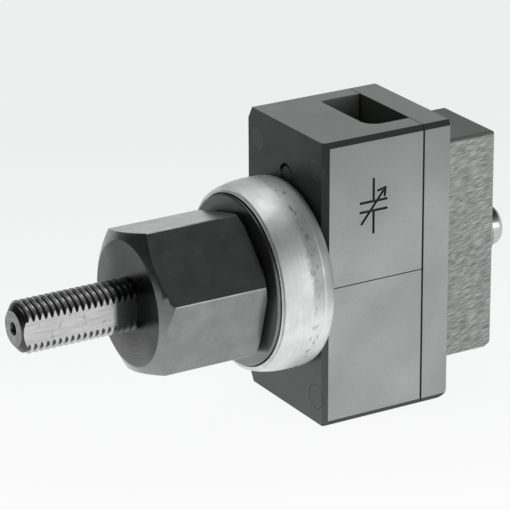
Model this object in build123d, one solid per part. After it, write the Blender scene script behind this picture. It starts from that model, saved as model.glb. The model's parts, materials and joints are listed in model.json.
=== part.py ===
"""Rotary air-dielectric tuning capacitor, about 15 pF, with a hexagonal drive hub.

Millimetres. The spindle turns about the Y axis. y = 0 is the front face of the
housing, the spindle points to -Y, and +Z is up. The rotor plates are fully meshed
at rest, and 180 degrees of travel takes them out of mesh.
"""
from build123d import *
import os
from math import asin, atan2, cos, degrees, hypot, radians, sin

# ---- Fits and clearances ----
FIT = 0.02            # radial and end clearance between parts that stay together
RUNNING = 0.05        # radial clearance where one part turns on another

# ---- Housing ----
CASE_LEFT, CASE_RIGHT = -8.3, 8.08       # the spindle is a little off the case's centre
CASE_BOTTOM, CASE_TOP = -16.55, 17.1
HOUSING_DEPTH = 13.0
COVER_DEPTH = 3.5
GASKET = 0.1          # thickness of the paper shim between housing and cover
FRONT_WALL = 2.4
LEFT_CHAMFER = (0.85, 1.45)      # long edges of the -X side: across, and up or down
RIGHT_CHAMFER = (0.36, 0.64)     # long edges of the +X side
NOSE_CHAMFER = (0.52, 0.7)   # front right vertical edge, at the bottom and at the top
COVER_FOOT_RADIUS = 1.1      # rear bottom edge of the cover
CAVITY_HALF_WIDTH = 7.0
CAVITY_TOP = 11.2
CAVITY_BOTTOM = -8.2
POCKET_HALF_WIDTH = 4.6      # upper pocket, between the two upper housing screws
POCKET_TOP = 13.6
WINDOW_LEFT, WINDOW_RIGHT = -5.2, 5.1
WINDOW_FRONT = 7.6
WINDOW_CORNERS = (0.5, 1.8)  # radii of the front left and front right corners
SCRIBE_WIDTH = 0.12
SCRIBE_DEPTH = 0.07
SYMBOL_CENTRE = (6.4, 8.85)  # y, z of the capacitor symbol engraved on the +X side
SYMBOL_LINE = 0.3
SYMBOL_DEPTH = 0.15
GASKET_INSET = 0.6
SHAFT_CLEARANCE = 0.6        # radial gap where the shaft passes the rear cover
COVER_RECESS_R = 4.6         # room for the rotor nut and the contact spring
COVER_RECESS_DEPTH = 1.9
SCREW_BLIND = 0.4            # skin left behind the screws in the rear cover
SCREWS = ((-6.35, -13.35), (6.35, -13.35), (-6.35, 13.65), (6.35, 13.65))    # x, z
SCREW_HEAD_R = 1.42
SCREW_HEAD_LENGTH = 1.8
SCREW_SHANK_R = 0.8

# ---- Rear bearing block ----
BLOCK_LEFT, BLOCK_RIGHT = -5.25, 4.75
BLOCK_BOTTOM, BLOCK_TOP = -13.05, 13.35
BLOCK_DEPTH = 8.55
BLOCK_CHAMFER = 0.35
BLOCK_FOOT_CHAMFER = (0.6, 1.0)   # rear bottom edge: up the rear face, and forward
BLOCK_SCREW_X, BLOCK_SCREW_Z = 2.9, 9.6
BLOCK_SCREW_HEAD_R = 1.5
BLOCK_SCREW_SINK = 1.9
BUSH_R = 4.0

# ---- Spindle ----
THREAD_R = 3.0        # M6 x 0.75, drawn at its major diameter
SHAFT_R = 2.5         # from the hub's front face to the rear end
SPINDLE_FRONT = -34.4
SPINDLE_REAR = 28.3
SPINDLE_CHAMFER = (1.03, 0.85)    # front end: across, and along
TAIL_ROUND = 0.9
FLAT_X = 2.2          # distance of the flat from the axis
CLIP_GROOVE_R = 2.05
CLIP_THICKNESS = 0.4
CLIP_R = 3.7
CONTACT_SCREW_Z = -6.4
CONTACT_SCREW_R = 0.5
CONTACT_WIDTH = 2.2
CONTACT_SPRING_R = 4.1
CONTACT_THICKNESS = 0.2
CONTACT_OFFSET = 1.2         # from the cover's front face to the spring

# ---- Hex hub ----
HEX_ACROSS_FLATS = 15.85
HEX_CORNER_R = 9.1
HEX_TURN = 14.0       # angle of one corner above +X
HEX_FRONT = -20.4
HEX_REAR = -7.55
HEX_FACE_R = 7.14
HEX_CHAMFER_TAN = 0.577
HEX_REAR_CHAMFER = 0.35
NECK_R = 5.6
SHIELD_SEAT_R = 5.0
JOURNAL_R = 4.0
JOURNAL_START = -4.65
HUB_END = 4.0

# ---- Shield, bearing cup and bearing ----
SHIELD_R = 9.8
SHIELD_FRONT = -7.0
SHIELD_THICKNESS = 0.9
CUP_R = 11.0
CUP_MOUTH_R = 9.92
CUP_BEAD = (0.22, 0.2)       # width and height of the bead round the mouth
CUP_STEP_Y = -6.42           # flat step outside the bead
CUP_EDGE_R = 10.5            # where the step meets the crowned outside
CUP_EDGE_BREAK = (0.05, 0.12)    # across, and along
CUP_MOUTH_FLOOR = -5.6
CUP_CROWN_END = -3.2
CUP_BAND_START = -1.5        # the rear band is a little smaller than the ring
CUP_BAND_R = 10.92
CUP_REAR_RADIUS = 1.0
SPIGOT_R = 5.0
SPIGOT_BORE_R = 4.3
SPIGOT_END = 3.8
CUP_NUT_R = 6.8
RACE_FRONT, RACE_REAR = -4.6, -0.6
RACE_OUTER_R = 8.0
RACE_LIP_R = (5.3, 6.7)      # inner race outside, outer race inside
BALL_PITCH_R = 6.0
BALL_R = 1.05
GROOVE_R = 1.12
BALL_COUNT = 11
CAGE_R = (5.5, 6.5)
CAGE_HALF_WIDTH = 1.5
CIRCLIP_THICKNESS = 0.6
CIRCLIP_GROOVE_R = 8.4

# ---- Plates ----
PLATE = 0.4
PITCH = 1.4
STATOR_COUNT = 6
ROTOR_COUNT = 5
FIRST_STATOR = 4.8
FIRST_ROTOR = FIRST_STATOR + PITCH / 2
ROTOR_R = 6.5
ROTOR_BOSS_R = 3.4
STATOR_NOTCH_R = 4.0
STATOR_SIDE = 6.2
STATOR_SHOULDER = 10.6
STATOR_NECK = 4.1
STATOR_TOP = 12.7
POSTS = ((-4.9, 8.5), (4.9, 8.5), (-0.1, 11.2))     # x, z; the last one is the terminal post
POST_R = 0.8
TERMINAL_HEAD_R = 1.1
POST_HOLE_R = 1.35
POST_RECESS = 0.9     # depth of the open ring round the terminal post in the front face
POST_BLIND = 0.8      # skin of the front wall left in front of the two other posts
STATOR_SPACER_R = 1.3
INSULATOR_FLANGE_R = 1.3
POST_END = 15.6

# ---- Stop ----
STOP_R = 6.0
STOP_PIN_R = 0.5
STOP_FRONT = HUB_END
STOP_THICKNESS = 0.5
STOP_ANGLE = -90.0    # the pin is under the spindle

PARTING = HOUSING_DEPTH - GASKET / 2
COVER_FRONT = HOUSING_DEPTH + GASKET / 2
COVER_REAR = HOUSING_DEPTH + COVER_DEPTH
BLOCK_REAR = COVER_REAR + BLOCK_DEPTH
LAST_STATOR_END = FIRST_STATOR + PITCH * (STATOR_COUNT - 1) + PLATE
LAST_ROTOR_END = FIRST_ROTOR + PITCH * (ROTOR_COUNT - 1) + PLATE
CLIP_FRONT = BLOCK_REAR + 0.35
CENTRE_HOLE = (          # radius and y of the centre-drilled hole in the spindle's end
    (0, SPINDLE_FRONT - 1), (1.5, SPINDLE_FRONT - 1), (0.75, SPINDLE_FRONT), (0.58, SPINDLE_FRONT + 0.3),
    (0.55, SPINDLE_FRONT + 1.5), (0, SPINDLE_FRONT + 1.8),
)


# ---- Drawing helpers ----
def rod(radius, y0, y1, x=0.0, z=0.0):
    """A cylinder along Y from y0 to y1."""
    return Pos(x, (y0 + y1) / 2, z) * Rot(90, 0, 0) * Cylinder(radius, y1 - y0)


def tube(outer, inner, y0, y1, x=0.0, z=0.0):
    return rod(outer, y0, y1, x, z) - rod(inner, y0 - 1, y1 + 1, x, z)


def block(x0, x1, y0, y1, z0, z1):
    return Pos((x0 + x1) / 2, (y0 + y1) / 2, (z0 + z1) / 2) * Box(x1 - x0, y1 - y0, z1 - z0)


def slab(sketch, y0, y1):
    """A sketch in x, z, extruded from y0 to y1."""
    return extrude(Plane.XZ.offset(-y1) * sketch, amount=y1 - y0)


def turned(*points):
    """A solid of revolution about Y, from points given as (radius, y)."""
    return revolve(make_face(Polyline(*points, close=True)), Axis.Y)


def polar(radius, angle):
    return radius * cos(radians(angle)), radius * sin(radians(angle))


def pie(radius, start, span):
    """A sector of a disc, its angles counted from +X towards +Z."""
    arc = CenterArc((0, 0), radius, start, span)
    return make_face([Line((0, 0), polar(radius, start)), arc, Line(polar(radius, start + span), (0, 0))])


def four_corners(x, z):
    return [(sx * x, sz * z) for sx in (-1, 1) for sz in (-1, 1)]


# ---- Stationary parts ----
def outline(y0, y1):
    """The housing's outer prism, with its four long edges chamfered."""
    points = chamfered_box(CASE_LEFT, CASE_RIGHT, CASE_BOTTOM, CASE_TOP)
    return slab(make_face(Polyline(*points, close=True)), y0, y1)


def chamfered_box(left, right, bottom, top):
    (la, lb), (ra, rb) = LEFT_CHAMFER, RIGHT_CHAMFER
    return [
        (left, bottom + lb), (left + la, bottom), (right - ra, bottom), (right, bottom + rb),
        (right, top - rb), (right - ra, top), (left + la, top), (left, top - lb),
    ]


def nose_cutter():
    """A wedge that chamfers the front right vertical edge, wider at the top."""
    x = CASE_RIGHT
    ends = []
    for height, size in zip((CASE_BOTTOM - 1, CASE_TOP + 1), NOSE_CHAMFER):
        tip = Polyline((x - size - 1, -1), (x + 1, size + 1), (x + 1, -1), close=True)
        ends.append(Plane.XY.offset(height) * make_face(tip))
    return loft(ends)


def front_housing():
    body = outline(0, PARTING) - nose_cutter()
    inner = CAVITY_HALF_WIDTH
    rear = PARTING + 1
    body -= block(-inner, inner, FRONT_WALL, rear, CAVITY_BOTTOM, CAVITY_TOP)
    body -= block(-POCKET_HALF_WIDTH, POCKET_HALF_WIDTH, FRONT_WALL, rear, 0, POCKET_TOP)
    body -= window_cutter()
    body -= rod(SPIGOT_R + FIT, -1, FRONT_WALL + 1)
    for (x, z), y0 in zip(POSTS, (POST_BLIND, POST_BLIND, -1)):
        body -= rod(POST_HOLE_R, y0, FRONT_WALL + 1, x, z)
    for x, z in SCREWS:
        body -= rod(SCREW_HEAD_R + FIT, -1, SCREW_HEAD_LENGTH, x, z)
        body -= rod(SCREW_SHANK_R + FIT, 0, rear, x, z)
    half = SCRIBE_WIDTH / 2
    body -= block(CASE_RIGHT - SCRIBE_DEPTH, CASE_RIGHT + 1, -1, rear, -half, half)
    return body - symbol_cutter()


def symbol_cutter():
    """The circuit symbol for a variable capacitor: two plates, their leads and an arrow."""
    gap, plate, lead = 1.1, 3.4, 2.6
    tail, tip, barb = (-1.55, -1.9), (1.55, 1.9), 0.95
    strokes = [
        ((-plate / 2, -gap / 2), (plate / 2, -gap / 2)),
        ((-plate / 2, gap / 2), (plate / 2, gap / 2)),
        ((0, -gap / 2 - lead), (0, -gap / 2)),
        ((0, gap / 2), (0, gap / 2 + lead)),
        (tail, tip),
        (tip, (tip[0] - barb, tip[1] - 0.2)),
        (tip, (tip[0] - 0.1, tip[1] - barb)),
    ]
    y, z = SYMBOL_CENTRE
    sketch = Sketch() + [SlotCenterToCenter(length(a, b), SYMBOL_LINE, rotation=slope(a, b)).moved(
        Location(((a[0] + b[0]) / 2 + y, (a[1] + b[1]) / 2 + z))) for a, b in strokes]
    return extrude(Plane.YZ.offset(CASE_RIGHT - SYMBOL_DEPTH) * sketch, amount=1)


def length(a, b):
    return hypot(b[0] - a[0], b[1] - a[1])


def slope(a, b):
    return degrees(atan2(b[1] - a[1], b[0] - a[0]))


def window_cutter():
    """The terminal window: square at the parting line, rounded at its two front corners."""
    a, b = WINDOW_CORNERS
    left, right, front, rear = WINDOW_LEFT, WINDOW_RIGHT, WINDOW_FRONT, PARTING + 1
    edges = [
        Line((left, rear), (left, front + a)),
        CenterArc((left + a, front + a), a, 180, 90),
        Line((left + a, front), (right - b, front)),
        CenterArc((right - b, front + b), b, 270, 90),
        Line((right, front + b), (right, rear)),
        Line((right, rear), (left, rear)),
    ]
    return extrude(Plane.XY.offset(CAVITY_TOP - 1) * make_face(edges), amount=CASE_TOP)


def cover_gasket():
    """A thin shim, set in from the outside, open over the cavity."""
    y0, y1 = PARTING, COVER_FRONT
    inset = GASKET_INSET
    inner = CAVITY_HALF_WIDTH
    points = chamfered_box(CASE_LEFT + inset, CASE_RIGHT - inset, CASE_BOTTOM + inset, CASE_TOP - inset)
    shim = slab(make_face(Polyline(*points, close=True)), y0, y1)
    shim -= block(-inner, inner, y0 - 1, y1 + 1, CAVITY_BOTTOM, CAVITY_TOP)
    shim -= block(WINDOW_LEFT, WINDOW_RIGHT, y0 - 1, y1 + 1, 0, CASE_TOP)
    for x, z in SCREWS:
        shim -= rod(SCREW_SHANK_R + 2 * FIT, y0 - 1, y1 + 1, x, z)
    return shim


def rear_cover():
    body = outline(COVER_FRONT, COVER_REAR)
    foot = body.edges().filter_by(Axis.X).sort_by(Axis.Z)[:2].sort_by(Axis.Y)[-1]
    body = fillet(foot, COVER_FOOT_RADIUS)
    floor = COVER_FRONT + COVER_RECESS_DEPTH
    body -= rod(COVER_RECESS_R, COVER_FRONT - 1, floor)
    body -= rod(SHAFT_R + SHAFT_CLEARANCE, COVER_FRONT, COVER_REAR + 1)
    half = CONTACT_WIDTH / 2 + 0.4
    body -= block(-half, half, COVER_FRONT - 1, floor, CONTACT_SCREW_Z - 1.4, 0)
    body -= rod(CONTACT_SCREW_R + FIT, COVER_FRONT, COVER_REAR - SCREW_BLIND, 0, CONTACT_SCREW_Z)
    for x, z in POSTS:
        body -= rod(POST_HOLE_R, COVER_FRONT - 1, POST_END + 0.4, x, z)
    for x, z in SCREWS:
        body -= rod(SCREW_SHANK_R + FIT, COVER_FRONT - 1, COVER_REAR - SCREW_BLIND, x, z)
    for x, z in four_corners(BLOCK_SCREW_X, BLOCK_SCREW_Z):
        body -= rod(SCREW_SHANK_R + FIT, COVER_FRONT + 0.6, COVER_REAR + 1, x, z)
    return body


def rear_block():
    body = block(BLOCK_LEFT, BLOCK_RIGHT, COVER_REAR, BLOCK_REAR, BLOCK_BOTTOM, BLOCK_TOP)
    rear_edges = body.faces().sort_by(Axis.Y)[-1].edges()
    top = rear_edges.filter_by(Axis.X).sort_by(Axis.Z)[-1]
    body = chamfer([top, *rear_edges.filter_by(Axis.Z)], BLOCK_CHAMFER)
    up, forward = BLOCK_FOOT_CHAMFER
    beyond = up / forward
    low = BLOCK_BOTTOM - beyond
    foot = make_face(Polyline(
        (BLOCK_REAR + 1, BLOCK_BOTTOM + up + beyond), (BLOCK_REAR - forward - 1, low),
        (BLOCK_REAR + 1, low), close=True))
    body -= extrude(Plane.YZ.offset(BLOCK_LEFT - 1) * foot, amount=BLOCK_RIGHT - BLOCK_LEFT + 2)
    body -= rod(BUSH_R + FIT, COVER_REAR - 1, BLOCK_REAR + 1)
    for sx, sz in four_corners(BLOCK_SCREW_X, BLOCK_SCREW_Z):
        body -= rod(BLOCK_SCREW_HEAD_R + FIT, BLOCK_REAR - BLOCK_SCREW_SINK, BLOCK_REAR + 1, sx, sz)
        body -= rod(SCREW_SHANK_R + FIT, COVER_REAR - 1, BLOCK_REAR, sx, sz)
    return body


def rear_bush():
    return tube(BUSH_R, SHAFT_R + RUNNING, COVER_REAR + FIT, BLOCK_REAR - FIT)


def block_screws():
    screws = []
    for sx, sz in four_corners(BLOCK_SCREW_X, BLOCK_SCREW_Z):
        seat = BLOCK_REAR - BLOCK_SCREW_SINK + FIT
        screw = rod(BLOCK_SCREW_HEAD_R, seat, seat + 1.6, sx, sz)
        screw += rod(SCREW_SHANK_R, COVER_FRONT + 0.7, seat + 0.1, sx, sz)
        socket = Pos(sx, 0, sz) * slab(RegularPolygon(0.86, 6), seat + 0.7, seat + 2)
        screws.append(screw - socket)
    return screws


def housing_screws():
    """Four long screws, their heads dressed flush with the front face."""
    screws = []
    for x, z in SCREWS:
        screw = rod(SCREW_HEAD_R, 0, SCREW_HEAD_LENGTH - FIT, x, z)
        screw += rod(SCREW_SHANK_R, 1, COVER_REAR - SCREW_BLIND - 0.1, x, z)
        screws.append(screw - nose_cutter())
    return screws


def bearing_cup():
    """The ring in front of the case: beaded mouth, crowned outside, rear band and threaded spigot."""
    width, height = CUP_BEAD
    foot = CUP_MOUTH_R + width
    clip_front = RACE_FRONT - CIRCLIP_THICKNESS - FIT
    spring = CUP_STEP_Y - height / 2
    crest = (CUP_MOUTH_R + width / 2, CUP_STEP_Y - height)
    bead = ThreePointArc((CUP_MOUTH_R, spring), crest, (foot, spring))
    across, along = CUP_EDGE_BREAK
    step = Polyline(bead @ 1, (foot, CUP_STEP_Y), (CUP_EDGE_R - across, CUP_STEP_Y),
                    (CUP_EDGE_R, CUP_STEP_Y + along))
    crown = crown_arc(step @ 1, (CUP_R, CUP_CROWN_END))
    side = Polyline((CUP_R, CUP_CROWN_END), (CUP_R, CUP_BAND_START),
                    (CUP_BAND_R, CUP_BAND_START + CUP_R - CUP_BAND_R), (CUP_BAND_R, -CUP_REAR_RADIUS))
    corner = CenterArc((CUP_BAND_R - CUP_REAR_RADIUS, -CUP_REAR_RADIUS), CUP_REAR_RADIUS, 0, 90)
    inside = Polyline(
        (CUP_BAND_R - CUP_REAR_RADIUS, 0), (SPIGOT_R, 0), (SPIGOT_R, SPIGOT_END),
        (SPIGOT_BORE_R, SPIGOT_END), (SPIGOT_BORE_R, RACE_REAR + 0.3), (6.4, RACE_REAR + 0.3),
        (6.4, RACE_REAR), (RACE_OUTER_R, RACE_REAR), (RACE_OUTER_R, RACE_FRONT),
        (CIRCLIP_GROOVE_R, RACE_FRONT), (CIRCLIP_GROOVE_R, clip_front), (RACE_OUTER_R, clip_front),
        (RACE_OUTER_R, CUP_MOUTH_FLOOR), (CUP_MOUTH_R, CUP_MOUTH_FLOOR), bead @ 0,
    )
    return revolve(make_face([bead, *step.edges(), crown, *side.edges(), corner, *inside.edges()]), Axis.Y)


def crown_arc(start, end):
    """An arc from start that arrives at end running along Y."""
    across, along = end[0] - start.X, end[1] - start.Y
    radius = (across ** 2 + along ** 2) / (2 * across)
    turn = asin(along / radius) / 2
    middle = (end[0] - radius * (1 - cos(turn)), end[1] - radius * sin(turn))
    return ThreePointArc(start, middle, end)


def cup_nut():
    """A slotted ring nut that draws the cup against the front face."""
    nut = tube(CUP_NUT_R, SPIGOT_R + FIT, FRONT_WALL + FIT, SPIGOT_END)
    for angle in (0, 90, 180, 270):
        x, z = polar(CUP_NUT_R, angle + 45)
        nut -= Pos(x, 0, z) * block(-0.6, 0.6, SPIGOT_END - 0.5, SPIGOT_END + 1, -0.6, 0.6)
    x, z = polar(STOP_R, STOP_ANGLE)
    return nut - rod(STOP_PIN_R + FIT, FRONT_WALL - 1, SPIGOT_END + 1, x, z)


def stop_pin():
    x, z = polar(STOP_R, STOP_ANGLE)
    return rod(STOP_PIN_R, FRONT_WALL + FIT, STOP_FRONT + STOP_THICKNESS + 0.1, x, z)


def bearing_outer_race():
    race = tube(RACE_OUTER_R - FIT, RACE_LIP_R[1], RACE_FRONT + FIT, RACE_REAR - FIT)
    return race - raceway()


def raceway():
    middle = (RACE_FRONT + RACE_REAR) / 2
    return Pos(0, middle, 0) * Rot(90, 0, 0) * Torus(BALL_PITCH_R, GROOVE_R)


def bearing_circlip():
    y1 = RACE_FRONT - FIT
    clip = tube(CIRCLIP_GROOVE_R - FIT, 7.5, y1 - CIRCLIP_THICKNESS + FIT, y1)
    return clip - block(-1.4, 1.4, y1 - 2, y1 + 1, -9, -6)


def stator_outline():
    """The stator plate, with its notch for the rotor boss and its post holes."""
    side, shoulder, neck, top = STATOR_SIDE, STATOR_SHOULDER, STATOR_NECK, STATOR_TOP
    points = [(-side, 0.6), (side, 0.6), (side, shoulder), (neck, shoulder), (neck, top),
              (-neck, top), (-neck, shoulder), (-side, shoulder)]
    plate = make_face(Polyline(*points, close=True)) - Circle(STATOR_NOTCH_R)
    for x, z in POSTS:
        plate -= Pos(x, z) * Circle(POST_R + FIT)
    return plate


def stator_plates():
    starts = [FIRST_STATOR + PITCH * i for i in range(STATOR_COUNT)]
    return [slab(stator_outline(), y, y + PLATE) for y in starts]


def stator_spacers():
    """Tubes on the posts, between the plates."""
    starts = [FIRST_STATOR + PITCH * i + PLATE for i in range(STATOR_COUNT - 1)]
    return [
        tube(STATOR_SPACER_R, POST_R + FIT, y + FIT, y + PITCH - PLATE - FIT, x, z)
        for x, z in POSTS for y in starts
    ]


def stator_posts():
    return [rod(POST_R, POST_BLIND + 0.2, POST_END, x, z) for x, z in POSTS[:2]]


def terminal_post():
    """The post whose end shows above the cup; its nose is domed."""
    x, z = POSTS[2]
    post = rod(TERMINAL_HEAD_R, 0.1, POST_RECESS - FIT, x, z) + rod(POST_R, 0.5, POST_END, x, z)
    nose = post.faces().sort_by(Axis.Y)[0].edges()
    return fillet(nose, 0.25)


def front_insulators():
    """Bushes through the front wall, flanged inside, each holding a post clear of the housing."""
    bushes = []
    for x, z in POSTS:
        bush = rod(POST_HOLE_R - FIT, POST_RECESS, FRONT_WALL + FIT, x, z)
        bush += rod(INSULATOR_FLANGE_R, FRONT_WALL + FIT, FIRST_STATOR - FIT, x, z)
        bushes.append(bush - rod(POST_R + FIT, 0, FIRST_STATOR + 1, x, z))
    return bushes


def rear_insulators():
    return [
        tube(POST_HOLE_R - FIT, POST_R + FIT, LAST_STATOR_END + 0.75, POST_END + 0.2, x, z)
        for x, z in POSTS
    ]


def stator_nuts():
    """Thin round nuts that clamp the plates and the terminal on the posts."""
    front = LAST_STATOR_END + FIT
    nuts = [tube(1.25, POST_R + FIT, front, front + 0.65, x, z) for x, z in POSTS[:2]]
    x, z = POSTS[2]
    nuts.append(tube(1.25, POST_R + FIT, front + 0.25, front + 0.65, x, z))
    return nuts


def solder_terminal():
    """A flat lug on the terminal post, just under the window."""
    y0 = LAST_STATOR_END + FIT
    x, z = POSTS[2]
    lug = make_face(Polyline((x - 3.6, z - 1.2), (x + 1.2, z - 1.2), (x + 1.2, z + 1.2),
                             (x - 3.6, z + 1.2), close=True))
    lug -= Pos(x, z) * Circle(POST_R + FIT)
    lug -= Pos(x - 2.6, z) * Circle(0.5)
    return slab(lug, y0, y0 + 0.2)


def contact_spring():
    """A phosphor bronze fork whose ring rubs the shaft and earths the rotor."""
    y0 = COVER_FRONT + CONTACT_OFFSET
    y1 = y0 + CONTACT_THICKNESS
    tail = block(-CONTACT_WIDTH / 2, CONTACT_WIDTH / 2, y0, y1, CONTACT_SCREW_Z - 1, -3.0)
    leaf = tube(CONTACT_SPRING_R, SHAFT_R + RUNNING, y0, y1) + tail
    leaf -= rod(CONTACT_SCREW_R + FIT, y0 - 1, y1 + 1, 0, CONTACT_SCREW_Z)
    return leaf - block(-0.5, 0.5, y0 - 1, y1 + 1, 0, CONTACT_SPRING_R + 1)


def contact_screw():
    y0 = COVER_FRONT + CONTACT_OFFSET
    head = rod(0.95, y0 - 0.7, y0 - FIT, 0, CONTACT_SCREW_Z)
    shank = rod(CONTACT_SCREW_R, y0 - 0.1, COVER_REAR - SCREW_BLIND - 0.1, 0, CONTACT_SCREW_Z)
    slot = block(-1, 1, y0 - 1, y0 - 0.45, CONTACT_SCREW_Z - 0.12, CONTACT_SCREW_Z + 0.12)
    return head + shank - slot


# ---- Rotor ----
def spindle():
    """Threaded end with a flat, a shoulder at the hub, a plain shaft and a domed tail."""
    across, along = SPINDLE_CHAMFER
    front, rear, shoulder = SPINDLE_FRONT, SPINDLE_REAR, HEX_FRONT - 2 * FIT
    groove = CLIP_FRONT - FIT, CLIP_FRONT + CLIP_THICKNESS + FIT
    body = turned(
        (0, front), (THREAD_R - across, front), (THREAD_R, front + along), (THREAD_R, shoulder),
        (SHAFT_R, shoulder), (SHAFT_R, groove[0]), (CLIP_GROOVE_R, groove[0]),
        (CLIP_GROOVE_R, groove[1]), (SHAFT_R, groove[1]), (SHAFT_R, rear), (0, rear),
    )
    body = fillet(body.faces().sort_by(Axis.Y)[-1].edges(), TAIL_ROUND)
    body -= block(FLAT_X, THREAD_R + 1, front - 1, shoulder, -THREAD_R, THREAD_R)
    return body - turned(*CENTRE_HOLE)


def hex_hub():
    """Hexagon with a turned front face, a neck, a seat for the shield and a bearing journal."""
    reach = HEX_CORNER_R - HEX_FACE_R
    envelope = turned(
        (0, HEX_FRONT), (HEX_FACE_R, HEX_FRONT), (HEX_CORNER_R, HEX_FRONT + reach * HEX_CHAMFER_TAN),
        (HEX_CORNER_R, HEX_REAR - HEX_REAR_CHAMFER), (HEX_CORNER_R - 2 * HEX_REAR_CHAMFER, HEX_REAR),
        (0, HEX_REAR),
    )
    corner_radius = HEX_ACROSS_FLATS / 2 / cos(radians(30))
    prism = slab(RegularPolygon(corner_radius, 6, rotation=HEX_TURN), HEX_FRONT, HEX_REAR)
    hub = envelope & prism
    tail = turned(
        (0, HEX_REAR - 1), (NECK_R, HEX_REAR - 1), (NECK_R, SHIELD_FRONT), (SHIELD_SEAT_R, SHIELD_FRONT),
        (SHIELD_SEAT_R, JOURNAL_START), (JOURNAL_R, JOURNAL_START), (JOURNAL_R, HUB_END), (0, HUB_END),
    )
    hub += tail
    return hub - rod(SHAFT_R + FIT, HEX_FRONT - 1, HUB_END + 1)


def front_shield():
    """Dust shield pressed on the hub, turning inside the mouth of the cup."""
    rear = SHIELD_FRONT + SHIELD_THICKNESS
    edge = 0.1
    inner = SHIELD_SEAT_R + FIT
    return turned(
        (inner, SHIELD_FRONT + FIT), (SHIELD_R - edge, SHIELD_FRONT + FIT),
        (SHIELD_R, SHIELD_FRONT + FIT + edge), (SHIELD_R, rear), (inner, rear),
    )


def bearing_inner_race():
    race = tube(RACE_LIP_R[0], JOURNAL_R + FIT, RACE_FRONT, RACE_REAR - FIT)
    return race - raceway()


def stop_sector():
    """Part disc that meets the stop pin at both ends of a half turn."""
    touch = degrees(asin(STOP_PIN_R / STOP_R))
    play = 0.2
    span = 180 - 2 * (touch + play)
    start = STOP_ANGLE - (touch + play) - span
    sector = pie(ROTOR_R, start, span) + Circle(ROTOR_BOSS_R) - Circle(SHAFT_R + FIT)
    return slab(sector, STOP_FRONT + FIT, STOP_FRONT + STOP_THICKNESS)


def rotor_outline():
    half = make_face([CenterArc((0, 0), ROTOR_R, 0, 180), Line((-ROTOR_R, 0), (ROTOR_R, 0))])
    return half + Circle(ROTOR_BOSS_R) - Circle(SHAFT_R + FIT)


def rotor_plates():
    starts = [FIRST_ROTOR + PITCH * i for i in range(ROTOR_COUNT)]
    return [slab(rotor_outline(), y, y + PLATE) for y in starts]


def rotor_spacers():
    first = tube(ROTOR_BOSS_R, SHAFT_R + FIT, STOP_FRONT + STOP_THICKNESS + FIT, FIRST_ROTOR - FIT)
    starts = [FIRST_ROTOR + PITCH * i + PLATE for i in range(ROTOR_COUNT - 1)]
    rest = [tube(ROTOR_BOSS_R, SHAFT_R + FIT, y + FIT, y + PITCH - PLATE - FIT) for y in starts]
    return [first, *rest]


def rotor_lock_washer():
    y0 = LAST_ROTOR_END + FIT
    washer = tube(3.5, SHAFT_R + FIT, y0, y0 + 0.3)
    return washer - Rot(0, 40, 0) * block(-0.35, 0.35, y0 - 1, y0 + 1, 0, 5)


def rotor_nut():
    y0 = LAST_ROTOR_END + 0.3 + 2 * FIT
    return slab(RegularPolygon(3.7, 6) - Circle(SHAFT_R + FIT), y0, y0 + 1.3)


def rear_thrust_washer():
    return tube(4.0, SHAFT_R + FIT, BLOCK_REAR + 0.08, CLIP_FRONT - FIT)


def rear_retaining_ring():
    """An E-clip in the groove behind the block."""
    ring = tube(CLIP_R, CLIP_GROOVE_R + FIT, CLIP_FRONT, CLIP_FRONT + CLIP_THICKNESS)
    ring -= block(-1.6, 1.6, CLIP_FRONT - 1, CLIP_FRONT + 1, -5, 0)
    for angle in (25, 155):
        x, z = polar(2.5, angle)
        ring -= rod(0.75, CLIP_FRONT - 1, CLIP_FRONT + 1, x, z)
    return ring


# ---- Ball cage ----
def ball_centres():
    middle = (RACE_FRONT + RACE_REAR) / 2
    step = 360 / BALL_COUNT
    return [(x, middle, z) for x, z in (polar(BALL_PITCH_R, 90 + step * i) for i in range(BALL_COUNT))]


def bearing_balls():
    return [Pos(*centre) * Sphere(BALL_R) for centre in ball_centres()]


def bearing_cage():
    middle = (RACE_FRONT + RACE_REAR) / 2
    cage = tube(CAGE_R[1], CAGE_R[0], middle - CAGE_HALF_WIDTH, middle + CAGE_HALF_WIDTH)
    for i in range(BALL_COUNT):
        angle = 90 + 360 / BALL_COUNT * i
        pocket = Pos(BALL_PITCH_R, middle, 0) * Rot(0, 90, 0) * Cylinder(BALL_R + 0.08, 3)
        cage -= Rot(0, -angle, 0) * pocket
    return cage


PARTS = [
    front_housing, cover_gasket, rear_cover, rear_block, rear_bush, block_screws, housing_screws,
    bearing_cup, cup_nut, stop_pin, bearing_outer_race, bearing_circlip, stator_plates, stator_spacers,
    stator_posts, terminal_post, front_insulators, rear_insulators, stator_nuts, solder_terminal,
    contact_spring, contact_screw, spindle, hex_hub, front_shield, bearing_inner_race, stop_sector,
    rotor_plates, rotor_spacers, rotor_lock_washer, rotor_nut, rear_thrust_washer, rear_retaining_ring,
    bearing_balls, bearing_cage,
]

os.makedirs("parts", exist_ok=True)
for make in PARTS:
    shape = make()
    solids = shape if isinstance(shape, list) else [shape]
    node = Compound(children=[solid for piece in solids for solid in piece.solids()])
    export_step(node, f"parts/{make.__name__}.step")
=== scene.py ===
"""Looks of the tuning capacitor: materials, the threaded spindle, stage, lights and camera.

Lengths are written in millimetres and multiplied by MM, because the frame is in metres.
The spindle turns about the Y axis, and y = 0 is the front face of the case.
"""
import json
import math

import bmesh
import bpy
from mathutils import Matrix, Vector


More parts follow.
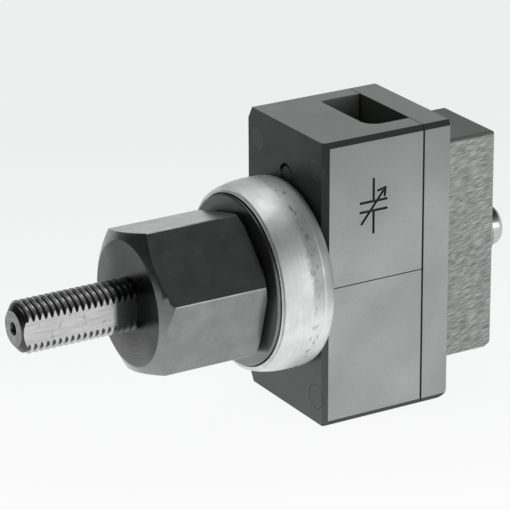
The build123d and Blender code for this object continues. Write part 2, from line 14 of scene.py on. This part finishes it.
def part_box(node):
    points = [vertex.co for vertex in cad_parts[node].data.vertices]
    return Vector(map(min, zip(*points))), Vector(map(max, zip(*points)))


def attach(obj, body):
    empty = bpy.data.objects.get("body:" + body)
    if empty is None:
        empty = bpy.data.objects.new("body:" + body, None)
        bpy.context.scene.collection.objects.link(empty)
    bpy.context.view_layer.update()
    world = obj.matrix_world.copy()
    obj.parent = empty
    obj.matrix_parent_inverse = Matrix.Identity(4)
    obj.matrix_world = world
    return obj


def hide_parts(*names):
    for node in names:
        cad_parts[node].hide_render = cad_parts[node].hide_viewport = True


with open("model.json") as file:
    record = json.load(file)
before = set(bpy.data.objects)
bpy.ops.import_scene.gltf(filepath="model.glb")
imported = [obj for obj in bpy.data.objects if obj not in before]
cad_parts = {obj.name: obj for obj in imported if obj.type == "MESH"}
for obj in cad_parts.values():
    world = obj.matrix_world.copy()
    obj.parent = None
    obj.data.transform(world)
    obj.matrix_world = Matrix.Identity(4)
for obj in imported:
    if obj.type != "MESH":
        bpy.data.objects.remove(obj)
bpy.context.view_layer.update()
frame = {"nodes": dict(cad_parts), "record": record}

MM = 0.001

# ---- Sizes read from the frame, in millimetres ----
CASE_LOW, CASE_HIGH = (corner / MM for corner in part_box("front_housing"))
COVER_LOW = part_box("rear_cover")[0] / MM
SPINDLE_LOW, SPINDLE_HIGH = (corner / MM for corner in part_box("spindle"))
HUB_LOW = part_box("hex_hub")[0] / MM
BLOCK_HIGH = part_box("rear_block")[1] / MM
CLIP_LOW, CLIP_HIGH = (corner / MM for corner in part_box("rear_retaining_ring"))
FLOOR_Z = CASE_LOW.z

# ---- Marks on the case and block, in millimetres ----
SCREW_X = 6.35
SCREW_HEIGHTS = (-13.35, 13.65)
SCREW_RIM_R = 1.48
JOINT_Y = (CASE_HIGH.y + COVER_LOW.y) / 2
JOINT_HALF_WIDTH = 0.13
ENGRAVED_X = (CASE_HIGH.x - 0.3, CASE_HIGH.x - 0.012)     # under the skin of the marked side
SYMBOL_Y, SYMBOL_Z = (3.5, 9.5), (4.5, 13.5)
SCRIBE_HALF_WIDTH = 0.09
WELL_LOW = (-5.3, 7.5, -20)
WELL_HIGH = (5.2, COVER_LOW.y + 0.02, CASE_HIGH.z - 0.03)
DARK_LINE_CENTRE = (4.78, 0, 11.74)
DARK_LINE_HALF = (2.0, 0.51, 0.08)
DARK_LINE_TILT = math.radians(53)
STROKE_SLOPE = math.radians(-13)
BLOCK_DARK_EDGE = 0.32

# ---- Marks on the turned pieces, in millimetres ----
# painted highlight line on the cup's rear step
RIDGE_Y, RIDGE_HIGHLIGHT_HALF_WIDTH = -1.5, 0.13
STAIN_Y, STAIN_HALF_WIDTH = -2.6, 0.55
SKIN = 0.03                    # thickness of a mask on an end face

DARK_STRETCH = (-25.0, -20.0)  # painted shade: the spindle darkens over part of this, up to the hub
THREAD_DARK_FROM = 0.55        # share of the thread's depth, from the crest, that is not darkened

# ---- Limits on a normal's part along an axis ----
SQUARE_ON = 0.9
LEANING = 0.3
FRONT_FACING = -0.5
FLAT_FRONT = -0.95
CONE_FRONT = -0.4

# ---- Colours of dirt, wear, painted shade and painted light ----
ENGRAVED = (0.022, 0.024, 0.024)
RIM_SHADE_AND_LINE = (0.012, 0.013, 0.013)
JOINT_DIRT_AND_SHADE = (0.030, 0.032, 0.032)
EDGE_STRIP_SHADE = (0.040, 0.043, 0.043)
BLOCK_EDGE = (0.035, 0.038, 0.037)
THREAD_ROOT_DARK = (0.025, 0.026, 0.026)
# painted light from the floor on the foot of the front face
FRONT_FOOT_LIGHT = (0.098, 0.104, 0.104)

# ---- Spindle ----
PITCH = 0.75
THREAD_R = SPINDLE_HIGH.z
THREAD_DEPTH = 0.61 * PITCH
THREAD_CREST = PITCH / 8
THREAD_ROOT = PITCH / 4
SHAFT_R = 2.5
CLIP_GROOVE_R = 2.05
FLAT_X = 2.2
FRONT_CHAMFER = (1.03, 0.85)   # across, and along
CENTRE_HOLE = ((0.02, 1.8), (0.55, 1.5), (0.58, 0.3), (0.75, 0.0))   # radius, depth
REAR_DOME = 0.9
DOME_STEPS = 12
SHOULDER_Y = HUB_LOW.y - 0.04
CLIP_ROOM = 0.02
STEP = 0.001                   # length over which the radius steps
ROWS_PER_PITCH = 16
AROUND = 160
SHARP = math.radians(32)       # faces that meet at more than this stay sharp

# ---- Camera ----
CAMERA_AZIMUTH = 59.51
CAMERA_ELEVATION = 20.95
CAMERA_ROLL = -0.35
CAMERA_DISTANCE = 353.7
CAMERA_AIM = (-3.56, 1.53)     # to the camera's right, and above the spindle's origin
LENS = 221.2


# ---- Shader helpers ----
class Shader:
    """One material's node tree, with coordinates in millimetres."""

    def __init__(self, name):
        self.material = bpy.data.materials.new(name)
        self.material.use_nodes = True
        self.tree = self.material.node_tree
        self.surface = self.tree.nodes["Principled BSDF"]
        place = self.tree.nodes.new("ShaderNodeTexCoord")
        self.place = self.mapped(place.outputs["Object"], scale=(1 / MM,) * 3)

    def node(self, kind, inputs=None, **settings):
        made = self.tree.nodes.new("ShaderNode" + kind)
        for key, value in settings.items():
            setattr(made, key, value)
        for socket, value in (inputs or {}).items():
            self.feed(made.inputs[socket], value)
        return made

    def feed(self, socket, value):
        if isinstance(value, bpy.types.NodeSocket):
            self.tree.links.new(value, socket)
        else:
            socket.default_value = value

    def mapped(self, vector, location=(0, 0, 0), turn=(0, 0, 0), scale=(1, 1, 1)):
        settings = {"Vector": vector, "Location": location, "Rotation": turn, "Scale": scale}
        return self.node("Mapping", settings).outputs[0]

    def math(self, operation, *values):
        return self.node("Math", dict(enumerate(values)), operation=operation).outputs[0]

    def noise(self, size, detail=4.0, stretch=(1, 1, 1), turn=(0, 0, 0), vector=None):
        """Noise with features about size across, in millimetres, made longer by stretch."""
        turned = self.mapped(vector or self.place, turn=turn)
        scaled = self.mapped(turned, scale=[1 / s for s in stretch])
        made = self.node("TexNoise", {"Vector": scaled, "Scale": 1 / size, "Detail": detail})
        return made.outputs["Fac"]

    def ramp(self, value, *stops):
        """Maps a value through (position, grey or colour) stops."""
        made = self.node("ValToRGB", {"Fac": value})
        marks = made.color_ramp.elements
        while len(marks) < len(stops):
            marks.new(0.5)
        for mark, (position, shade) in zip(marks, stops):
            mark.position = position
            mark.color = (*shade, 1) if isinstance(shade, tuple) else (shade,) * 3 + (1,)
        return made.outputs["Color"]

    def mix(self, factor, first, second, blend="MIX"):
        """Lays the second colour over the first. A plain colour is three numbers."""
        made = self.node("Mix", data_type="RGBA", blend_type=blend)
        self.feed(made.inputs[0], factor)
        for socket, colour in zip(made.inputs[6:8], (first, second)):
            self.feed(socket, (*colour, 1) if isinstance(colour, tuple) else colour)
        return made.outputs[2]

    def below(self, value, limit):
        return self.math("LESS_THAN", value, limit)

    def above(self, value, limit):
        return self.math("GREATER_THAN", value, limit)

    def near(self, value, centre, reach):
        """1 within reach of a centre, 0 further away."""
        away = self.math("SUBTRACT", value, centre)
        return self.below(self.math("ABSOLUTE", away), reach)

    def both(self, first, second):
        return self.math("MULTIPLY", first, second)

    def level(self, value, low, high):
        """How far a value has gone from low, 0, to high, 1."""
        return self.math("DIVIDE", self.math("SUBTRACT", value, low), high - low)

    def box_mask(self, centre, half, turn=(0, 0, 0)):
        """1 inside a box that is turned about its centre, 0 outside."""
        moved = self.mapped(self.place, location=[-c for c in centre])
        parts = self.node("SeparateXYZ", {0: self.mapped(moved, turn=turn)}).outputs
        inside = [self.near(part, 0.0, reach) for part, reach in zip(parts, half)]
        return self.both(self.both(inside[0], inside[1]), inside[2])

    def box_between(self, low, high):
        centre = [(a + b) / 2 for a, b in zip(low, high)]
        return self.box_mask(centre, [(b - a) / 2 for a, b in zip(low, high)])

    def facing(self, axis):
        """The surface normal's part along X, Y or Z (0, 1 or 2)."""
        normal = self.node("NewGeometry").outputs["Normal"]
        return self.node("SeparateXYZ", {0: normal}).outputs[axis]

    def along(self, axis):
        return self.node("SeparateXYZ", {0: self.place}).outputs[axis]

    def length(self, across, up):
        squares = self.math("ADD", self.both(across, across), self.both(up, up))
        return self.math("SQRT", squares)

    def radius(self):
        """Distance from the spindle's axis."""
        return self.length(self.along(0), self.along(2))

    def lathe_tracks(self, size):
        """Noise in rings round the spindle's axis."""
        spread = self.node("CombineXYZ", {0: self.radius()}).outputs[0]
        return self.noise(size, vector=spread)

    def bump(self, height, strength, distance=0.02):
        settings = {"Height": height, "Strength": strength, "Distance": distance * MM}
        made = self.node("Bump", settings)
        self.feed(self.surface.inputs["Normal"], made.outputs[0])

    def finish(self, colour, roughness, metallic):
        self.feed(self.surface.inputs["Base Color"], colour)
        self.feed(self.surface.inputs["Roughness"], roughness)
        self.feed(self.surface.inputs["Metallic"], metallic)
        return self.material


def worn(shader, dark, light, size=3.0):
    """Two close greys in soft patches, with a fine grain over them."""
    patches = shader.noise(size, detail=5.0)
    grain = shader.noise(0.25, detail=3.0)
    base = shader.ramp(patches, (0.3, dark), (0.7, light))
    return shader.mix(0.035, base, shader.ramp(grain, (0.35, 0.02), (0.65, 0.9)), "OVERLAY")


# ---- Materials ----
def case_material():
    s = Shader("case_metal")
    right, forward, up = s.facing(0), s.facing(1), s.facing(2)
    on_side = s.above(right, SQUARE_ON)
    colour = worn(s, (0.275, 0.290, 0.284), (0.310, 0.325, 0.319), size=9.0)
    # Painted light and shade: the marked side is a lighter, lit copy of the case greys, darkened
    # towards its top.
    side = worn(s, (0.315, 0.334, 0.325), (0.410, 0.428, 0.417), size=9.0)
    side_top_shade = s.ramp(s.level(s.along(2), -17.0, 17.0), (0.58, 0.0), (1.0, 0.70))
    side = s.mix(side_top_shade, side, (0.19, 0.200, 0.197))
    colour = s.mix(on_side, colour, side)
    # Painted shade: the front-facing faces take the dark front tone.
    colour = s.mix(s.below(forward, FRONT_FACING), colour, shaded_front_tone(s))
    # Painted shade: the chamfer strips above and below the marked side are darkened.
    shaded_edge_strips = s.both(s.above(right, LEANING), s.above(s.math("ABSOLUTE", up), 0.2))
    colour = s.mix(shaded_edge_strips, colour, EDGE_STRIP_SHADE)
    spots = s.ramp(s.noise(0.5, detail=6.0), (0.72, 0.0), (0.78, 0.4))
    colour = s.mix(spots, colour, (0.08, 0.085, 0.085))
    for mask in engravings(s):
        colour = s.mix(mask, colour, ENGRAVED)
    colour = s.mix(s.box_between(WELL_LOW, WELL_HIGH), colour, (0.250, 0.262, 0.259))
    joint = s.near(s.along(1), JOINT_Y, JOINT_HALF_WIDTH)
    colour = s.mix(s.both(joint, on_side), colour, JOINT_DIRT_AND_SHADE)
    # A thin dark diagonal line on the front face, and painted shade in the rings round the screw
    # ends.
    dark_line = s.box_mask(DARK_LINE_CENTRE, DARK_LINE_HALF, turn=(0, DARK_LINE_TILT, 0))
    colour = s.mix(s.math("MAXIMUM", dark_line, screw_rims(s)), colour, RIM_SHADE_AND_LINE)
    s.bump(s.noise(0.12, detail=2.0, stretch=(1, 3, 1)), 0.02)
    return s.finish(colour, s.ramp(s.noise(3.0), (0.3, 0.40), (0.7, 0.46)), 0.75)


def engravings(s):
    """The scribed line along the marked side, and the symbol above it."""
    low, high = ENGRAVED_X
    scribe = s.box_between((low, -1, -SCRIBE_HALF_WIDTH), (high, COVER_LOW.y, SCRIBE_HALF_WIDTH))
    symbol = s.box_between((low, SYMBOL_Y[0], SYMBOL_Z[0]), (high, SYMBOL_Y[1], SYMBOL_Z[1]))
    return scribe, symbol


def shaded_front_tone(s):
    """Painted shade over the front face, paler towards its foot, where painted light from the
    floor falls.
    """
    front = worn(s, (0.028, 0.031, 0.031), (0.036, 0.039, 0.039), size=5.0)
    low = s.ramp(s.level(s.along(2), -18.0, 18.0), (0.10, 1.0), (0.72, 0.0))
    return s.mix(low, front, FRONT_FOOT_LIGHT)


def screw_end_material():
    s = Shader("screw_end_metal")
    # Painted shade: the screw ends mostly take the front face's painted shade tone.
    colour = s.mix(0.25, shaded_front_tone(s), worn(s, 0.06, 0.09, size=1.0))
    return s.finish(colour, 0.42, 0.75)


def screw_rims(s):
    """Painted shade: thin dark rings where the screw ends meet the front face."""
    middle = sum(SCREW_HEIGHTS) / 2
    height = s.math("ABSOLUTE", s.math("SUBTRACT", s.along(2), middle))
    x = s.math("SUBTRACT", s.math("ABSOLUTE", s.along(0)), SCREW_X)
    z = s.math("SUBTRACT", height, SCREW_HEIGHTS[1] - middle)
    return s.both(s.below(s.length(x, z), SCREW_RIM_R), s.below(s.along(1), 0.02))


def block_material():
    s = Shader("block_metal")
    strokes = s.noise(0.17, detail=4.0, stretch=(1, 8, 0.8), turn=(STROKE_SLOPE, 0, 0))
    broad = s.noise(0.8, detail=3.0, stretch=(1, 6, 0.8), turn=(STROKE_SLOPE, 0, 0))
    dark, middle, light = (0.150, 0.160, 0.152), (0.315, 0.332, 0.318), (0.560, 0.578, 0.560)
    colour = s.ramp(strokes, (0.38, dark), (0.50, middle), (0.64, light))
    colour = s.mix(0.35, colour, s.ramp(broad, (0.3, 0.20), (0.7, 0.36)))
    top = worn(s, (0.148, 0.156, 0.152), (0.170, 0.178, 0.174), size=4.0)
    colour = s.mix(s.above(s.facing(2), 0.5), colour, top)
    corner = BLOCK_HIGH.x + BLOCK_HIGH.z - BLOCK_DARK_EDGE
    dark_edge = s.above(s.math("ADD", s.along(0), s.along(2)), corner)
    colour = s.mix(s.both(dark_edge, 0.8), colour, BLOCK_EDGE)
    s.bump(strokes, 0.45, distance=0.04)
    return s.finish(colour, 0.55, 0.4)


def cup_material():
    """Turned bright metal, with painted shade in a band on its upper half, strongest towards the
    rear, a painted highlight along its rear step, and stains.
    """
    s = Shader("cup_metal")
    rings = s.noise(0.25, detail=6.0, stretch=(16, 0.8, 16))
    cloud = s.noise(2.2, detail=5.0)
    colour = s.ramp(rings, (0.30, (0.76, 0.78, 0.77)), (0.62, (0.84, 0.86, 0.85)))
    colour = s.mix(s.ramp(cloud, (0.38, 0.22), (0.60, 0.0)), colour, (0.50, 0.51, 0.505))
    # Painted shade: a ragged darker band on the upper half, strongest towards the rear.
    ragged = s.math("ADD", s.along(1), s.both(s.noise(0.9, detail=6.0), 1.2))
    rear_half = s.ramp(s.level(ragged, -5.0, 0.0), (0.38, 0.0), (0.54, 0.90))
    height = s.level(s.along(2), -11.0, 11.0)
    upper = s.ramp(height, (0.40, 0.0), (0.58, 1.0), (0.76, 1.0), (0.90, 0.2))
    shade_band = s.both(s.math("MAXIMUM", rear_half, 0.32), upper)
    colour = s.mix(shade_band, colour, (0.34, 0.35, 0.345))
    # Painted highlight: a broken pale line along the rear step.
    broken = s.ramp(s.noise(1.6, detail=3.0), (0.35, 0.15), (0.65, 0.65))
    ridge_highlight = s.both(s.near(s.along(1), RIDGE_Y, RIDGE_HIGHLIGHT_HALF_WIDTH), broken)
    colour = s.mix(ridge_highlight, colour, (0.88, 0.89, 0.88))
    blots = s.ramp(s.noise(0.5, detail=6.0, stretch=(1.6, 1, 1.6)), (0.56, 0.0), (0.66, 0.7))
    stains = s.both(s.near(s.along(1), STAIN_Y, STAIN_HALF_WIDTH), blots)
    colour = s.mix(stains, colour, (0.20, 0.20, 0.195))
    s.bump(rings, 0.12, distance=0.02)
    return s.finish(colour, s.ramp(cloud, (0.3, 0.56), (0.7, 0.48)), 0.9)


def hub_material():
    """Blackened steel. The front face is turned, with painted shade round the spindle and
    towards its upper right, and on the top of the chamfer cone.
    """
    s = Shader("hub_metal")
    colour = worn(s, (0.225, 0.235, 0.232), (0.285, 0.295, 0.291), size=2.5)
    pits = s.ramp(s.noise(0.3, detail=6.0), (0.68, 0.0), (0.74, 0.6))
    colour = s.mix(pits, colour, (0.30, 0.31, 0.30))
    on_face = s.below(s.facing(1), FLAT_FRONT)
    on_cone = s.below(s.facing(1), CONE_FRONT)
    # Painted shade: the top of the chamfer cone is darkened.
    high = s.ramp(s.level(s.along(2), -8.0, 8.0), (0.38, 0.0), (0.60, 0.48))
    colour = s.mix(s.both(on_cone, high), colour, (0.055, 0.058, 0.058))
    tracks = s.lathe_tracks(0.16)
    turned = s.ramp(tracks, (0.35, 0.035), (0.65, 0.190))
    # Painted shade on the turned face: darker round the spindle.
    shade_round_spindle = s.ramp(s.level(s.radius(), 0.0, 8.0), (0.45, 0.92), (0.78, 0.0))
    turned = s.mix(shade_round_spindle, turned, (0.018, 0.019, 0.019))
    # Painted shade: the turned face is darker towards its upper right, where its turning marks
    # catch no light.
    across = s.level(s.math("ADD", s.along(0), s.along(2)), -8.0, 8.0)
    turned = s.mix(s.ramp(across, (0.44, 0.0), (0.66, 0.85)), turned, (0.020, 0.021, 0.021))
    colour = s.mix(on_face, colour, turned)
    s.bump(s.both(tracks, on_face), 0.8, distance=0.05)
    return s.finish(colour, s.ramp(s.noise(1.5), (0.3, 0.20), (0.7, 0.28)), 0.85)


def shield_material():
    s = Shader("shield_metal")
    tracks = s.lathe_tracks(0.2)
    colour = s.mix(0.4, worn(s, 0.19, 0.28), s.ramp(tracks, (0.3, 0.12), (0.75, 0.34)))
    # Painted shade: the upper part of the shield is darkened.
    high = s.ramp(s.level(s.along(2), -10.0, 10.0), (0.50, 0.0), (0.75, 0.8))
    colour = s.mix(high, colour, (0.045, 0.048, 0.048))
    s.bump(tracks, 0.2, distance=0.02)
    return s.finish(colour, 0.34, 0.85)


def spindle_material():
    """Bright steel with darker thread roots, dirt patches, painted shade before the hub, and a
    polished rear end.
    """
    s = Shader("spindle_metal")
    streaks = s.noise(0.3, detail=5.0, stretch=(1, 9, 1))
    colour = s.ramp(streaks, (0.25, 0.46), (0.7, 0.62))
    # The thread roots are darker, except on the flat.
    deep = s.below(s.radius(), THREAD_R - THREAD_DARK_FROM * THREAD_DEPTH)
    threaded = s.below(s.along(1), HUB_LOW.y)
    off_flat = s.below(s.math("ABSOLUTE", s.along(0)), FLAT_X - 0.01)
    dark_roots = s.both(s.both(deep, threaded), off_flat)
    colour = s.mix(s.both(dark_roots, 0.9), colour, THREAD_ROOT_DARK)
    dirt = s.ramp(s.noise(0.8, detail=6.0), (0.60, 0.0), (0.70, 0.5))
    colour = s.mix(dirt, colour, (0.14, 0.14, 0.135))
    front_end = s.below(s.along(1), SPINDLE_LOW.y + SKIN)
    colour = s.mix(front_end, colour, worn(s, 0.16, 0.34, size=0.7))
    # Painted shade on the spindle just before the hub.
    dark_stretch = s.ramp(s.level(s.along(1), *DARK_STRETCH), (0.32, 0.0), (0.44, 0.92))
    before_case = s.below(s.along(1), 0.0)
    colour = s.mix(s.both(dark_stretch, before_case), colour, JOINT_DIRT_AND_SHADE)
    polish = s.both(s.above(s.along(1), 0.0), 0.20)
    s.bump(streaks, 0.12, distance=0.01)
    return s.finish(colour, s.math("SUBTRACT", 0.34, polish), 0.95)


def plain_metal(name, dark, light, roughness, metallic=1.0, size=1.2):
    s = Shader(name)
    colour = worn(s, dark, light, size)
    s.bump(s.noise(0.15, detail=3.0), 0.12)
    patches = s.ramp(s.noise(size), (0.3, roughness), (0.7, roughness + 0.1))
    return s.finish(colour, patches, metallic)


def make_materials():
    """One material for each of the record's slots."""
    return {
        "case": case_material(),
        "block": block_material(),
        "cup": cup_material(),
        "hub": hub_material(),
        "shield": shield_material(),
        "spindle": spindle_material(),
        "gasket": plain_metal("gasket_paper", 0.012, 0.022, 0.75, 0.0),
        "bronze": plain_metal("bronze_metal", (0.34, 0.22, 0.10), (0.50, 0.34, 0.17), 0.28),
        "screw_steel": plain_metal("screw_metal", 0.24, 0.40, 0.28),
        "screw_ends": screw_end_material(),
        "bearing_steel": plain_metal("bearing_metal", 0.50, 0.62, 0.12),
        "plates": plain_metal("plate_metal", (0.48, 0.42, 0.28), (0.62, 0.56, 0.40), 0.26),
        "terminal": plain_metal("terminal_metal", 0.045, 0.07, 0.45, 0.7),
        "insulator": plain_metal("insulator_ceramic", (0.66, 0.64, 0.58), (0.78, 0.76, 0.70),
                                 0.25, 0.0),
    }


# ---- Worn edges ----
EDGE_BREAKS = {
    "front_housing": 0.06, "rear_cover": 0.06, "rear_block": 0.20, "hex_hub": 0.012,
    "front_shield": 0.03, "block_screws": 0.05,
}
EDGE_ANGLE = math.radians(28)      # edges flatter than this are not broken
WELD_REACH = 0.0005


def dress(materials):
    """Gives every CAD node its material, and a small worn edge to the pieces that show."""
    slots = {row["node"]: row["material_slot"] for row in frame["record"]["subparts"]}
    for name, piece in frame["nodes"].items():
        piece.data.materials.clear()
        piece.data.materials.append(materials[slots[name]])
    for name, width in EDGE_BREAKS.items():
        ease_edges(frame["nodes"][name], width)


def ease_edges(piece, width):
    weld = piece.modifiers.new("weld", "WELD")
    weld.merge_threshold = WELD_REACH * MM
    bevel = piece.modifiers.new("edge", "BEVEL")
    bevel.width = width * MM
    bevel.segments = 2
    bevel.limit_method = "ANGLE"
    bevel.angle_limit = EDGE_ANGLE
    bevel.harden_normals = True


# ---- Threaded spindle ----
def thread_radius(y, angle):
    """Radius of a right-hand thread that advances one pitch a turn."""
    flank = (PITCH - THREAD_CREST - THREAD_ROOT) / 2
    along = (y / PITCH + angle / math.tau) % 1.0 * PITCH
    if along < THREAD_ROOT:
        return THREAD_R - THREAD_DEPTH
    if along < THREAD_ROOT + flank:
        return THREAD_R - THREAD_DEPTH * (1 - (along - THREAD_ROOT) / flank)
    if along < THREAD_ROOT + flank + THREAD_CREST:
        return THREAD_R
    return THREAD_R - THREAD_DEPTH * (along - THREAD_ROOT - flank - THREAD_CREST) / flank


def spindle_rows():
    """(y, radius function) rows, from the bottom of the centre hole to the domed rear end."""
    front, rear = SPINDLE_LOW.y, SPINDLE_HIGH.y
    rows = [(front + depth, plain(r)) for r, depth in CENTRE_HOLE]
    threaded = SHOULDER_Y - front
    count = round(threaded / PITCH * ROWS_PER_PITCH)
    rows += [(front + threaded * i / count, threaded_row) for i in range(count + 1)]
    start, end = CLIP_LOW.y - CLIP_ROOM, CLIP_HIGH.y + CLIP_ROOM
    steps = [(SHAFT_R, SHOULDER_Y + STEP), (SHAFT_R, start), (CLIP_GROOVE_R, start + STEP),
             (CLIP_GROOVE_R, end - STEP), (SHAFT_R, end)]
    rows += [(y, plain(r)) for r, y in steps]
    for i in range(DOME_STEPS + 1):
        turn = math.pi / 2 * i / DOME_STEPS
        y = rear - REAR_DOME * (1 - math.sin(turn))
        rows.append((y, plain(SHAFT_R - REAR_DOME * (1 - math.cos(turn)))))
    return rows


def plain(radius):
    return lambda y, angle: radius


def threaded_row(y, angle):
    across, along = FRONT_CHAMFER
    limit = THREAD_R - across + across / along * (y - SPINDLE_LOW.y)
    return min(thread_radius(y, angle), limit)


def make_spindle():
    shape = bmesh.new()
    rings = []
    for y, radius in spindle_rows():
        ring = []
        for j in range(AROUND):
            angle = math.tau * j / AROUND
            r = radius(y, angle)
            x, z = r * math.cos(angle), r * math.sin(angle)
            if y <= SHOULDER_Y:
                x = min(x, FLAT_X)
            ring.append(shape.verts.new((x * MM, y * MM, z * MM)))
        rings.append(ring)
    for low, high in zip(rings, rings[1:]):
        for j in range(AROUND):
            k = (j + 1) % AROUND
            shape.faces.new((low[j], low[k], high[k], high[j]))
    shape.faces.new(rings[0])
    shape.faces.new(rings[-1])
    bmesh.ops.recalc_face_normals(shape, faces=shape.faces)
    mesh = bpy.data.meshes.new("threaded_spindle")
    shape.to_mesh(mesh)
    shape.free()
    mesh.shade_smooth()
    mesh.set_sharp_from_angle(angle=SHARP)
    piece = bpy.data.objects.new("threaded_spindle", mesh)
    bpy.context.collection.objects.link(piece)
    return piece


# ---- Stage, lights and camera ----
FLOOR_SIZE = 3.0                              # metres
FLOOR_GLOW = 0.95
FLOOR_NEAR, FLOOR_FAR = (1.0, 1.0, 1.0), (0.86, 0.88, 0.875)
FLOOR_FADE_X, FLOOR_FADE_Y = -0.86, 0.5       # the way in which the floor darkens
FLOOR_FADE = (-60.0, 120.0)                   # millimetres that way
SKY_BY_HEIGHT = ((0.0, 1.0), (0.22, 0.75), (0.50, 0.26), (0.72, 0.04))   # sine of elevation
SKY_BRIGHT_SIDE = (0.25, 0.95, 0.0)
SKY_SIDE_FROM, SKY_SIDE_TO = -0.7, 0.2
SKY_DARK_SIDE = 0.06


def make_floor():
    bpy.ops.mesh.primitive_grid_add(
        x_subdivisions=4, y_subdivisions=4, size=FLOOR_SIZE, location=(0, 0, FLOOR_Z * MM))
    floor = bpy.context.object
    floor.name = "studio_floor"
    s = Shader("studio_paper")
    away = s.math("ADD", s.both(s.along(1), FLOOR_FADE_Y), s.both(s.along(0), FLOOR_FADE_X))
    tone = s.ramp(s.level(away, *FLOOR_FADE), (0.15, FLOOR_NEAR), (0.85, FLOOR_FAR))
    s.feed(s.surface.inputs["Emission Color"], tone)
    s.feed(s.surface.inputs["Emission Strength"], FLOOR_GLOW)
    s.feed(s.surface.inputs["Specular IOR Level"], 0.0)
    floor.data.materials.append(s.finish((0.06, 0.06, 0.06, 1), 0.9, 0.0))


def make_world():
    """Light at the horizon behind and to the right, and dark overhead."""
    world = bpy.data.worlds.new("studio")
    bpy.context.scene.world = world
    world.use_nodes = True
    tree = world.node_tree
    place = tree.nodes.new("ShaderNodeTexCoord")
    parts = tree.nodes.new("ShaderNodeSeparateXYZ")
    tree.links.new(place.outputs["Generated"], parts.inputs[0])
    height = tree.nodes.new("ShaderNodeValToRGB")
    tree.links.new(parts.outputs["Z"], height.inputs[0])
    marks = height.color_ramp.elements
    while len(marks) < len(SKY_BY_HEIGHT):
        marks.new(0.5)
    for mark, (position, shade) in zip(marks, SKY_BY_HEIGHT):
        mark.position = position
        mark.color = (shade, shade, shade, 1)
    side = tree.nodes.new("ShaderNodeVectorMath")
    side.operation = "DOT_PRODUCT"
    side.inputs[1].default_value = SKY_BRIGHT_SIDE
    tree.links.new(place.outputs["Generated"], side.inputs[0])
    weight = tree.nodes.new("ShaderNodeMapRange")
    weight.inputs["From Min"].default_value = SKY_SIDE_FROM
    weight.inputs["From Max"].default_value = SKY_SIDE_TO
    weight.inputs["To Min"].default_value = SKY_DARK_SIDE
    weight.inputs["To Max"].default_value = 1.0
    tree.links.new(side.outputs["Value"], weight.inputs["Value"])
    product = tree.nodes.new("ShaderNodeMath")
    product.operation = "MULTIPLY"
    tree.links.new(height.outputs[0], product.inputs[0])
    tree.links.new(weight.outputs[0], product.inputs[1])
    shine = tree.nodes["Background"]
    tree.links.new(product.outputs[0], shine.inputs["Strength"])
    shine.inputs["Color"].default_value = (1.0, 1.0, 1.0, 1)


def make_light(name, direction, distance, size, watts):
    """A round softbox that faces the spindle's origin. Distance and size are in metres."""
    data = bpy.data.lights.new(name, "AREA")
    data.shape = "DISK"
    data.size = size
    data.energy = watts
    lamp = bpy.data.objects.new(name, data)
    aim = Vector(direction).normalized()
    lamp.location = aim * distance
    lamp.rotation_mode = "QUATERNION"
    lamp.rotation_quaternion = aim.to_track_quat("Z", "Y")
    bpy.context.collection.objects.link(lamp)


def make_camera():
    az, el, roll = (math.radians(a) for a in (CAMERA_AZIMUTH, CAMERA_ELEVATION, CAMERA_ROLL))
    back = Vector((math.sin(az) * math.cos(el), -math.cos(az) * math.cos(el), math.sin(el)))
    level = Vector((math.cos(az), math.sin(az), 0))
    rise = back.cross(level)
    right = level * math.cos(roll) + rise * math.sin(roll)
    up = rise * math.cos(roll) - level * math.sin(roll)
    data = bpy.data.cameras.new("camera")
    data.lens = LENS
    data.clip_start, data.clip_end = 0.01, 10.0
    camera = bpy.data.objects.new("camera", data)
    bpy.context.collection.objects.link(camera)
    place = (right * CAMERA_AIM[0] + up * CAMERA_AIM[1] + back * CAMERA_DISTANCE) * MM
    turn = Matrix((right, up, back)).transposed().to_4x4()
    camera.matrix_world = Matrix.Translation(place) @ turn
    bpy.context.scene.camera = camera


make_camera()
make_world()
make_light("key_softbox", direction=(1.0, 0.30, 0.10), distance=0.50, size=0.50, watts=0.7)
make_light("top_softbox", direction=(-0.35, 0.10, 1.0), distance=0.60, size=0.60, watts=1.45)
make_floor()

materials = make_materials()
dress(materials)
spindle = make_spindle()
spindle.data.materials.append(materials["spindle"])
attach(spindle, "rotor")
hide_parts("spindle")

bpy.context.scene.view_settings.view_transform = "Standard"
